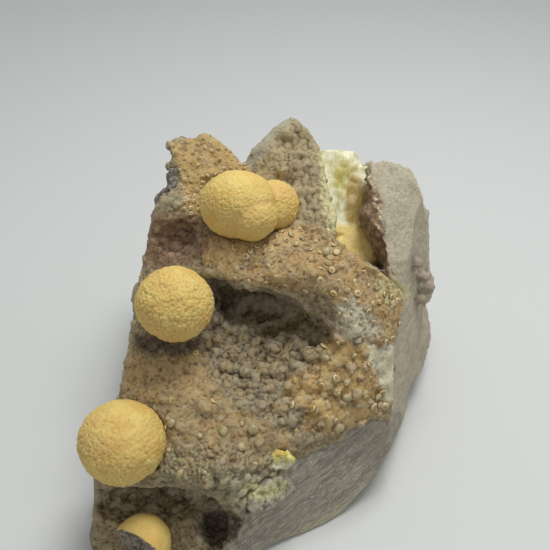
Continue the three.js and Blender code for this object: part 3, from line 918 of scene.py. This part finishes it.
def rock_relief(mesh, axes):
    """How far the rock's steps, grain and chips rise at each vertex."""
    points, normals = points_of(mesh), normals_of(mesh)
    seen = in_sight(mesh)
    place = seen_at(points)
    streaked = on_break(place, normals, axes, seen)
    lump = inside(RIGHT_LUMP, place, 3) * seen
    right = smooth_step(0.35, 0.7, normals[:, 0]) * smooth_step(12, 4, points[:, 1]) * (1 - streaked)
    bent = points @ np.array(axes).T + drift(points, 1.8, 11, (50, 51, 52))
    streaks = pillows(bent / np.array([6.0, 1.1, 2.5]), 1, 1)
    streaks += 0.8 * pillows(bent / np.array([3.0, 0.5, 1.5]), 1, 2)
    stepped = waves(points, 6.5, 4) * 3
    steps = 0.3 * (np.floor(stepped) + smooth_step(0.4, 0.6, stepped - np.floor(stepped)))
    rough = 0.5 * waves(points, 7, 3) + steps + 0.3 * waves(points, 2.4, 5) + 0.24 * waves(points, 1.2, 6)
    even = 0.35 * waves(points, 6, 3) + 0.16 * waves(points, 2.0, 5) + 0.2 * waves(points, 1.0, 6)
    drawn_out = 0.25 * waves(points, 6, 3) + 0.1 * waves(points, 1.2, 6) + 0.24 * streaks - 0.16
    dark = inside(DARK_ROCK, place, 3) * seen
    ragged = inside(LUMP_EDGE, place, 1.2) * seen
    crumbly = dark * (0.9 * waves(points, 1.9, 8) + 0.5 * waves(points, 0.9, 10))
    rough += crumbly + ragged * (0.9 * waves(points, 1.1, 9) + 0.2)
    plainness = np.maximum(lump * (1 - ragged), right)
    heights = streaked * drawn_out + (1 - streaked) * (plainness * even + (1 - plainness) * rough) - 0.22
    ledge = inside(LEDGE_LUMPS, place, 3) * seen
    heights += ledge * (1.3 * grains(points, 2.1, 2) + 0.8 * grains(points, 1.1, 3) - 0.05)
    warped = points + drift(points, 1.6, 6, (80, 81, 82))
    fractured = (3.9 * chips(warped, 17) + 1.8 * chips(warped, 7.5) - 0.6) * smooth_step(0, 9, points[:, 2])
    heights += (1 - evened(mesh, seen, 14)) * (1 - 0.6 * right) * fractured
    return heights * smooth_step(0.2, 1.5, points[:, 2])


def basalt_rock(crust_solid):
    """The chunk of basalt: broken faces with low steps and grain, and the streaked break."""
    mesh = remeshed(working_copy("basalt_matrix"), ROCK_STEP, 3)
    hidden = covered(mesh, crust_solid)
    axes = streak_axes(tree_of(mesh))
    raise_surface(mesh, np.where(hidden, 0, rock_relief(mesh, axes)))
    mesh = thinned(mesh, hidden)
    mark_rock(mesh, axes)
    return mesh, axes


def mark_rock(mesh, axes):
    """Marks the rock's areas for its material."""
    points, normals = points_of(mesh), normals_of(mesh)
    seen = in_sight(mesh)
    place = seen_at(points) + drift(points, 2, 2.5, (60, 61))
    streaked = on_break(place, normals, axes, seen)
    edge = inside(LUMP_EDGE, place, 1.2) * seen
    wall = inside(CLEFT_WALL, place, 2) * seen * smooth_step(0.15, -0.25, normals[:, 0])
    for marks, share in ((SEEN_ROCK_MARKS, seen), (BREAK_MARKS, streaked)):
        for name, areas in marks.items():
            mark(mesh, name, share * most_of(areas, place))
    mark(mesh, "streaked", streaked)
    mark(mesh, "tan", smooth_step(0.3, 0.75, normals[:, 0]) * (1 - streaked))
    mark(mesh, "brown_wall", np.maximum(wall, edge))
    mark(mesh, "rim", edge * (1 - wall))
    mark(mesh, "knob", knob_nearness(points))
    mark_creases(mesh, 0.09)


# Materials


class Wire:
    """An output of a material's node. Arithmetic on it adds Math nodes."""

    def __init__(self, finish, socket):
        self.finish = finish
        self.socket = socket

    def maths(self, operation, first, second):
        return self.finish.add("ShaderNodeMath", {"operation": operation}, {0: first, 1: second})

    def __add__(self, other):
        return self.maths("ADD", self, other)

    def __sub__(self, other):
        return self.maths("SUBTRACT", self, other)

    def __rsub__(self, other):
        return self.maths("SUBTRACT", other, self)

    def __mul__(self, other):
        return self.maths("MULTIPLY", self, other)

    __radd__ = __add__
    __rmul__ = __mul__


class Finish:
    """A material: the values that are the same all over, and the nodes for what varies."""

    def __init__(self, name, values):
        self.material = bpy.data.materials.new(name)
        self.material.use_nodes = True
        self.tree = self.material.node_tree
        self.shader = self.tree.nodes["Principled BSDF"]
        for socket, value in values.items():
            self.set(self.shader.inputs[socket], value)

    def set(self, socket, value):
        """Gives a socket its value, or links it."""
        if isinstance(value, Wire):
            self.tree.links.new(value.socket, socket)
        else:
            socket.default_value = value

    def add(self, kind, settings, inputs, output=0):
        """Adds a node, with its settings first and then the values or wires of its sockets."""
        node = self.tree.nodes.new(kind)
        for key, value in settings.items():
            setattr(node, key, value)
        for key, value in inputs.items():
            self.set(node.inputs[key], value)
        return Wire(self, node.outputs[output])

    def shows(self, **wires):
        """Feeds the shader's colour, roughness or normal."""
        names = {"colour": "Base Color", "roughness": "Roughness", "normal": "Normal"}
        for key, value in wires.items():
            self.set(self.shader.inputs[names[key]], value)

    def place(self):
        """The surface's own place on the specimen."""
        return self.add("ShaderNodeTexCoord", {}, {}, "Object")

    def stretched(self, place, scale):
        """Places scaled by direction, so that noise there is drawn out."""
        return self.add("ShaderNodeVectorMath", {"operation": "MULTIPLY"}, {0: place, 1: scale})

    def grain(self, size, detail=2.0, rough=0.5, at=None):
        """Noise from 0 to 1 with swells of that many millimetres."""
        inputs = {"Vector": at or self.place(), "Scale": PER_METRE / size, "Detail": detail}
        return self.add("ShaderNodeTexNoise", {}, inputs | {"Roughness": rough})

    def cells(self, size, at=None):
        """Distance to the nearest of many scattered points, that many millimetres apart."""
        return self.add("ShaderNodeTexVoronoi", {}, {"Vector": at or self.place(), "Scale": PER_METRE / size})

    def marked(self, name):
        """The value from 0 to 1 that the mesh keeps under that name."""
        return self.add("ShaderNodeAttribute", {"attribute_name": name}, {}, "Fac")

    def rise(self, value, low, high):
        """Turns a value into 0 up to low and 1 from high, softly between."""
        inputs = {"Value": value, "From Min": low, "From Max": high}
        return self.add("ShaderNodeMapRange", {"interpolation_type": "SMOOTHSTEP"}, inputs)

    def blend(self, share, under, over):
        """One colour over another."""
        return self.add("ShaderNodeMix", {"data_type": "RGBA"}, {0: share, 6: under, 7: over}, 2)

    def patches(self, size, low, high, detail=2.0, rough=0.5, at=None):
        """Noise of that many millimetres as patches: 0 up to low and 1 from high."""
        return self.rise(self.grain(size, detail, rough, at), low, high)

    def ragged(self, name, spread, size, low, high, detail=2.0, rough=0.5):
        """A marked area whose edge noise breaks up over that spread."""
        return self.rise(self.marked(name) + (self.grain(size, detail, rough) - 0.5) * spread, low, high)

    def mottle(self, first, second, *patches):
        """Two colours, the second in patches over the first."""
        return self.blend(self.patches(*patches), paint(first), paint(second))

    def layered(self, colour, *layers):
        """A colour under layers, each a share and a colour or its code."""
        for share, over in layers:
            colour = self.blend(share, colour, paint(over) if isinstance(over, str) else over)
        return colour

    def relief(self, height, depth, under=None):
        """A bump of that many millimetres from heights of 0 to 1."""
        inputs = {"Height": height, "Distance": depth / PER_METRE}
        if under:
            inputs["Normal"] = under
        return self.add("ShaderNodeBump", {}, inputs)


def golden_calcite():
    """The balls' waxy gold, with painted shade in its creases and painted highlight on its crests."""
    finish = Finish("golden_calcite", {"IOR": 1.5, "Subsurface Weight": 0.1, "Subsurface Scale": 0.0012})
    rough = finish.marked("rough")
    colour = finish.layered(
        finish.mottle("#e5cb73", "#deb760", 5.5, 0.35, 0.68),
        (finish.patches(1.4, 0.35, 0.7, 3) * 0.4, "#d7ae56"),
        (finish.patches(9, 0.45, 0.65) * rough * 0.5, "#d8ae6d"),
        # Painted highlight on the crests of the grains
        (finish.marked("crest") * 0.35, "#e9d88e"),
        # Painted shade in the creases, deeper on the rough side
        (finish.marked("crease") * (0.3 + 0.7 * rough) * 0.65, "#9a733a"),
        (finish.patches(0.35, 0.4, 0.65) * rough * 0.2, "#f1e2b0"),
        (finish.marked("broken"), broken_tone(finish)),
    )
    normal = finish.relief(finish.grain(0.4, 3, 0.6), 0.12)
    finish.shows(colour=colour, roughness=0.58 + 0.2 * rough, normal=normal)
    return finish.material


def broken_tone(finish):
    """The pinkish grey of the break across a ball."""
    tone = finish.mottle("#5f5548", "#9b8f7f", 1.3, 0.42, 0.58, 4, 0.65)
    return finish.layered(tone, (finish.rise(finish.cells(0.9), 0.3, 0.1) * 0.5, "#c3bba8"))


def split_finish():
    """The pale fibrous break of the calcite in the cleft, with its olive and golden parts and its skin."""
    finish = Finish("split_calcite", {"IOR": 1.58, "Subsurface Weight": 0.15, "Subsurface Scale": 0.001})
    split = finish.marked("split")
    drawn = finish.stretched(finish.place(), (1.0, 0.3, 0.3))
    cloud = finish.patches(2.6, 0.35, 0.65, 3)
    pale = finish.layered(
        finish.blend(cloud, paint("#e9e6bf"), paint("#cdc58a")),
        (finish.patches(0.8, 0.35, 0.65, 3, 0.6, drawn) * 0.45, "#fbfae0"),
        (finish.marked("olive") * (0.5 + 0.45 * cloud), "#b8aa4e"),
        (finish.marked("golden") * 0.9, "#a4862f"),
        (finish.marked("rim") * 0.8, "#dec976"),
    )
    skin = finish.mottle("#f6dd90", "#e9c974", 1.2, 0.35, 0.7, 3)
    # The crease share is painted shade in the creases
    colour = finish.layered(skin, (split, pale), (finish.marked("crease") * 0.5, "#8d8146"))
    normal = finish.relief(finish.grain(0.5, 3, 0.6), 0.08)
    finish.shows(colour=colour, roughness=0.62 - 0.12 * split, normal=normal)
    return finish.material


def chip_finish():
    """The flake's bright yellow, whitish at its lower end."""
    finish = Finish("yellow_chip", {"IOR": 1.5})
    dull = finish.patches(1.1, 0.4, 0.6)
    colour = finish.layered(
        finish.blend(dull, paint("#e7e08b"), paint("#d3ba5f")),
        (finish.marked("whitish") * 0.9, finish.mottle("#c9c29c", "#e9e6d2", 0.7, 0.42, 0.6, 3)),
        # Painted shade in the creases
        (finish.marked("crease") * 0.6, "#8d6f33"),
    )
    finish.shows(colour=colour, roughness=0.45 + 0.2 * dull, normal=finish.relief(finish.grain(0.3, 3), 0.1))
    return finish.material


def crust_tone(finish):
    """The crust's colour, area by area."""
    rusty, nodule = finish.marked("rusty"), finish.marked("nodule")
    wander = finish.grain(5, 3) - 0.5
    fleck = finish.grain(1.6, 4, 0.6) - 0.5
    orange = finish.rise(finish.marked("orange") * finish.grain(6) * 2, 0.35, 1.0)
    # Painted light, in patches, lifting the balls' shadows below the upper pair and on the left slope
    painted_light_share = finish.marked("painted_light") * (0.25 + 0.75 * finish.patches(2.0, 0.4, 0.6, 4, 0.65))
    rust = finish.layered(
        finish.mottle("#b99760", "#bda577", 3.4, 0.38, 0.62, 4, 0.6),
        (orange * 0.6, finish.mottle("#d0a55f", "#e2c480", 3, 0.4, 0.6, 3, 0.6)),
        (orange * finish.patches(4, 0.5, 0.62, 3) * 0.3, "#a2845a"),
        (finish.marked("pale_rust") * 0.6, "#c8aa6a"),
        (finish.patches(2.8, 0.52, 0.66, 4, 0.65) * 0.6, "#98846f"),
    )
    olive = finish.mottle("#a59a7d", "#8c8068", 2.1, 0.35, 0.65, 3)
    olive = finish.layered(olive, (finish.patches(4.4, 0.47, 0.6, 3) * 0.75, "#a88c61"))
    return finish.layered(
        finish.mottle("#91805e", "#ad9c74", 2.6, 0.35, 0.65, 3),
        (finish.patches(9, 0.5, 0.68) * 0.4, "#86766a"),
        (finish.rise(rusty + wander * 0.5 + fleck * 0.3, 0.25, 0.6), rust),
        (finish.rise(finish.marked("grey") + wander * 0.8, 0.25, 0.75) * 0.85, olive),
        (finish.marked("peak") * 0.5, "#bfae84"),
        (finish.marked("facet") * 0.8, "#aeab96"),
        (nodule * finish.marked("orange") * 0.4, "#b5a78a"),
        (nodule * (1 - rusty * 0.5) * 0.3, "#b0a584"),
        (painted_light_share * 0.85, "#e0bd84"),
    )


def lime_crumbs(finish):
    """Where crumbs of lime lie, and their colour."""
    return finish.ragged("lime", 2.4, 1.2, 0.6, 0.85, 5, 0.75) * 0.85, "#e3dca2"


def crust_patches(finish, colour):
    """The pale, lime and dark patches over the crust's colour, with painted light in the hollows and painted
    shade.
    """
    druse = finish.ragged("druse", 1.6, 1.5, 0.3, 0.95, 4, 0.65)
    chalk = finish.mottle("#f1ecd2", "#d6cda8", 2.2, 0.4, 0.62, 4, 0.6)
    chalk = finish.layered(chalk, (finish.patches(0.8, 0.56, 0.68, 3, 0.7) * 0.4, "#a39671"))
    ledge = finish.mottle("#918c6e", "#bfba9a", 1.4, 0.4, 0.6, 3)
    ledge = finish.layered(ledge, (finish.patches(3.2, 0.46, 0.6, 3) * 0.6, "#a2865c"))
    return finish.layered(
        colour,
        (finish.ragged("druse", 0.8, 2.4, 0.1, 0.4, 3) * 0.45, "#a79a88"),
        (druse * 0.75, finish.mottle("#c0b99c", "#ebe6c9", 1.3, 0.4, 0.62, 3)),
        (druse * finish.rise(finish.cells(0.8), 0.32, 0.12) * 0.35, "#f5f4ea"),
        (finish.ragged("pale", 1.3, 1.9, 0.15, 0.6, 4, 0.65) * 0.95, chalk),
        (finish.marked("ledge") * 0.8, ledge),
        lime_crumbs(finish),
        (finish.ragged("crumbs", 2.6, 1.5, 0.5, 0.8, 5, 0.7) * 0.85, "#ddd79f"),
        # Painted light: the insides of the hollows lightened against their shade
        (finish.marked("inner") * 0.85, finish.mottle("#bdac92", "#e0d0b5", 1.8, 0.35, 0.65, 3)),
        # Painted shade and cast shadow where the shade mark lies
        (finish.marked("shade") * 0.9, "#483b34"),
        (finish.marked("slate"), finish.mottle("#8d867a", "#a9a191", 1.2, 0.4, 0.6, 3, 0.6)),
        (finish.marked("recess") * 0.7, finish.mottle("#7c563f", "#96765b", 2.2, 0.4, 0.6, 3, 0.6)),
    )


def crust_finish():
    """The crust: its colours, with painted shade in its creases, painted highlight on its crests, and grit.
    """
    finish = Finish("nodular_crust", {"IOR": 1.5})
    # Painted shade in the creases, held back inside the hollows and on the ledge
    crease = finish.marked("crease") * (1 - 0.5 * finish.marked("inner") - 0.35 * finish.marked("ledge"))
    grit = finish.grain(0.32, 3, 0.65)
    colour = finish.layered(
        crust_patches(finish, crust_tone(finish)),
        # Painted highlight on the crests
        (finish.marked("crest") * 0.3, "#cbbb96"),
        # Painted shade in the creases, warmer on the rust
        (crease * 0.9, finish.blend(finish.marked("rusty"), paint("#3b3026"), paint("#533a29"))),
        (finish.rise(grit, 0.58, 0.72) * 0.3, "#c2b594"),
        (finish.rise(grit, 0.42, 0.3) * 0.35, "#463a2e"),
    )
    normal = finish.relief(finish.grain(0.9, 4, 0.65), 0.4)
    normal = finish.relief(grit, 0.14, normal)
    finish.shows(colour=colour, roughness=0.88 - 0.14 * finish.marked("nodule"), normal=normal)
    return finish.material


def bead_finish():
    """The beads' amber, with a painted highlight ring round the top of each and painted shade at the foot, or
    mossy green.
    """
    finish = Finish("glassy_beads", {"IOR": 1.5, "Coat Weight": 0.35, "Coat Roughness": 0.15})
    green, top = finish.marked("green"), finish.marked("top")
    colour = finish.layered(
        finish.mottle("#a5844b", "#9a815b", 3.5, 0.38, 0.62),
        (finish.patches(2.6, 0.56, 0.64, 1) * 0.6, "#c6b584"),
        # Painted highlight: a pale ring round the top of each bead
        ((finish.rise(top, 0.12, 0.3) - finish.rise(top, 0.34, 0.5)) * 0.85, "#ecdca2"),
        (green, finish.mottle("#a1946c", "#c2b58a", 0.9, 0.35, 0.65, 3)),
        # Painted shade at the foot of each bead
        (finish.rise(top, 0.1, -0.05) * 0.6, "#634c33"),
    )
    finish.shows(colour=colour, roughness=0.4 + 0.3 * green, normal=finish.relief(finish.grain(0.4), 0.1))
    return finish.material


def basalt_tone(finish):
    """The rock's plain grey-brown, its lighter right side and the grains of its right shoulder."""
    return finish.layered(
        finish.mottle("#968979", "#a89c88", 7, 0.35, 0.65, 3),
        (finish.patches(1.7, 0.5, 0.7, 3, 0.6) * 0.4, "#7c7063"),
        (finish.patches(15, 0.5, 0.62, 4, 0.6) * 0.35, "#8d7a63"),
        (finish.marked("tan") * 0.85, finish.mottle("#bbaf98", "#c9bda3", 4.5, 0.35, 0.65, 3)),
        (finish.marked("granular") * 0.85, finish.mottle("#b2a890", "#c7bea3", 0.6, 0.4, 0.6, 3, 0.7)),
    )


def streaked_tone(finish, streak, drawn):
    """The grey of the streaked break, greenish tan along its foot."""
    fine = finish.grain(0.3, 4, 0.75, drawn)
    scratched = 0.3 + 0.7 * finish.patches(5, 0.4, 0.6)
    foot = finish.blend(finish.rise(streak, 0.4, 0.6), paint("#b2aa8f"), paint("#e0dab9"))
    return finish.layered(
        finish.mottle("#9e9688", "#b7ad99", 2.6, 0.35, 0.65, 3, 0.5, drawn),
        (finish.patches(12, 0.48, 0.6) * 0.35, "#867c77"),
        (finish.rise(streak, 0.54, 0.66) * 0.75, "#dbd2b6"),
        (finish.rise(streak, 0.47, 0.35) * 0.6, "#776e63"),
        (finish.rise(fine, 0.54, 0.6) * scratched * 0.8, "#e5ddc9"),
        (finish.rise(fine, 0.46, 0.4) * scratched * 0.6, "#665e57"),
        (finish.marked("dusky") * 0.2, "#786b68"),
        (finish.marked("chalky") * finish.rise(streak, 0.4, 0.55) * 0.7, "#ded7c3"),
        (finish.marked("low_rim") * 0.8, foot),
    )


def cleft_tone(finish, colour):
    """The small areas of the rock: cleft wall and rim, edge knobs, dark rock, ledge lumps, lime and film."""
    film = finish.rise(finish.marked("film") * finish.grain(1.4, 3) * 2, 0.5, 0.9)
    return finish.layered(
        colour,
        (finish.marked("brown_wall") * 0.9, finish.mottle("#70583f", "#a68761", 1.3, 0.4, 0.6, 3, 0.6)),
        (finish.marked("knob") * 0.7, "#a08f80"),
        (finish.marked("dark") * 0.9, finish.mottle("#4a4743", "#a19b90", 1.1, 0.5, 0.62, 4, 0.7)),
        (finish.marked("ledge") * 0.85, finish.mottle("#9d9880", "#cbc6ab", 1.4, 0.4, 0.6, 3)),
        lime_crumbs(finish),
        (film * 0.7, "#d9cd95"),
        (finish.marked("rim") * finish.patches(0.9, 0.46, 0.58, 3, 0.7), "#f3e2b7"),
    )


def basalt_finish(axes):
    """The rock: its colours, with grit, painted shade in its creases and the relief of its streaks."""
    finish = Finish("basalt", {"IOR": 1.5})
    streaked = finish.marked("streaked")
    along = {"Vector": finish.place(), "Rotation": axes.to_euler()}
    turned = finish.add("ShaderNodeMapping", {"vector_type": "POINT"}, along)
    swirl = finish.add("ShaderNodeTexNoise", {}, {"Vector": turned, "Scale": 130.0, "Detail": 2.0}, "Color")
    swirl = finish.add("ShaderNodeVectorMath", {"operation": "SCALE"}, {0: swirl, "Scale": 0.0035})
    turned = finish.add("ShaderNodeVectorMath", {"operation": "ADD"}, {0: turned, 1: swirl})
    drawn = finish.stretched(turned, (0.12, 1.0, 0.4))
    streak = finish.grain(0.55, 5, 0.75, drawn)
    grit = finish.grain(0.36, 2, 0.7)
    plain = 1 - 0.6 * streaked - 0.45 * finish.marked("granular")
    colour = finish.blend(streaked, basalt_tone(finish), streaked_tone(finish, streak, drawn))
    colour = finish.layered(
        cleft_tone(finish, colour),
        (finish.rise(grit, 0.56, 0.7) * plain * 0.4, "#c5bca6"),
        (finish.rise(grit, 0.44, 0.3) * plain * 0.45, "#524a41"),
        # Painted shade in the creases
        (finish.marked("crease") * 0.5, "#463c32"),
    )
    normal = finish.relief(finish.grain(1.2, 4, 0.65), 0.25)
    normal = finish.relief(grit, 0.15, normal)
    normal = finish.relief(streak * streaked, 0.35, normal)
    finish.shows(colour=colour, roughness=0.88, normal=normal)
    return finish.material


def floor_finish():
    """A pale, even floor."""
    finish = Finish("pale_floor", {"Roughness": 0.7})
    finish.shows(colour=finish.blend(finish.grain(400), paint("#d6d8d5"), paint("#dadcd9")))
    return finish.material


# The specimen, put together
rock_solid = tree_of(working_copy("basalt_matrix"))
crust_solid = tree_of(working_copy("nodular_lining"))
gold = golden_calcite()
rock, streak_turn = basalt_rock(crust_solid)
crust = nodular_crust(rock_solid)
beads = glassy_beads(crust, rock_solid)
finished("basalt_rock", rock, basalt_finish(streak_turn), "basalt", "basalt_matrix")
finished("nodular_crust", crust, crust_finish(), "brown_lining", "nodular_lining")
finished("glassy_beads", beads, bead_finish(), "brown_lining")
finished("golden_ball_pair", ball_pair(), gold, "golden_calcite", "calcite_ball_pair_upper")
finished("golden_ball_middle", whole_ball("middle", 0.25), gold, "golden_calcite", "calcite_ball_middle")
finished("golden_ball_lower", whole_ball("lower", 0.5), gold, "golden_calcite", "calcite_ball_lower")
finished("golden_ball_broken", broken_ball(), gold, "golden_calcite", "calcite_ball_broken")
finished("split_calcite", split_calcite(), split_finish(), "pale_calcite", "calcite_in_cleft")
finished("yellow_chip", yellow_chip(), chip_finish(), "yellow_flake", "yellow_flake")


# Floor, light and camera


def pale_floor():
    """A floor just under the specimen, which isn't part of it."""
    shape = bmesh.new()
    under = Matrix.Translation((0, 0, -FLOOR_DROP))
    bmesh.ops.create_grid(shape, x_segments=1, y_segments=1, size=FLOOR_REACH, matrix=under)
    mesh = mesh_of(shape, "floor")
    mesh.materials.append(floor_finish())
    floor = bpy.data.objects.new("floor", mesh)
    bpy.context.scene.collection.objects.link(floor)


def soft_box():
    """A square soft box above the specimen."""
    light = bpy.data.lights.new("key_light", "AREA")
    light.size = BOX_SIDE
    light.energy = BOX_POWER
    lamp = bpy.data.objects.new("key_light", light)
    lamp.location = BOX_PLACE
    lamp.rotation_euler = (Vector(BOX_AIM) - Vector(BOX_PLACE)).to_track_quat("-Z", "Y").to_euler()
    bpy.context.scene.collection.objects.link(lamp)


def studio():
    """The room's even light and plain colours."""
    world = bpy.data.worlds.new("studio")
    world.use_nodes = True
    back = world.node_tree.nodes["Background"]
    back.inputs["Color"].default_value = paint("#f4f6f8")
    back.inputs["Strength"].default_value = ROOM_LIGHT
    bpy.context.scene.world = world
    bpy.context.scene.view_settings.view_transform = "Standard"


def photograph_camera():
    """The camera at the photograph's eye."""
    view = bpy.data.cameras.new("camera")
    view.sensor_width = SENSOR
    view.lens = SENSOR * FOCUS / PICTURE
    view.clip_start = 0.01
    camera = bpy.data.objects.new("camera", view)
    camera.location = EYE / PER_METRE
    camera.rotation_euler = Euler((math.pi / 2 - LOOKING_DOWN, 0, 0))
    bpy.context.scene.collection.objects.link(camera)
    bpy.context.scene.camera = camera


pale_floor()
soft_box()
studio()
photograph_camera()
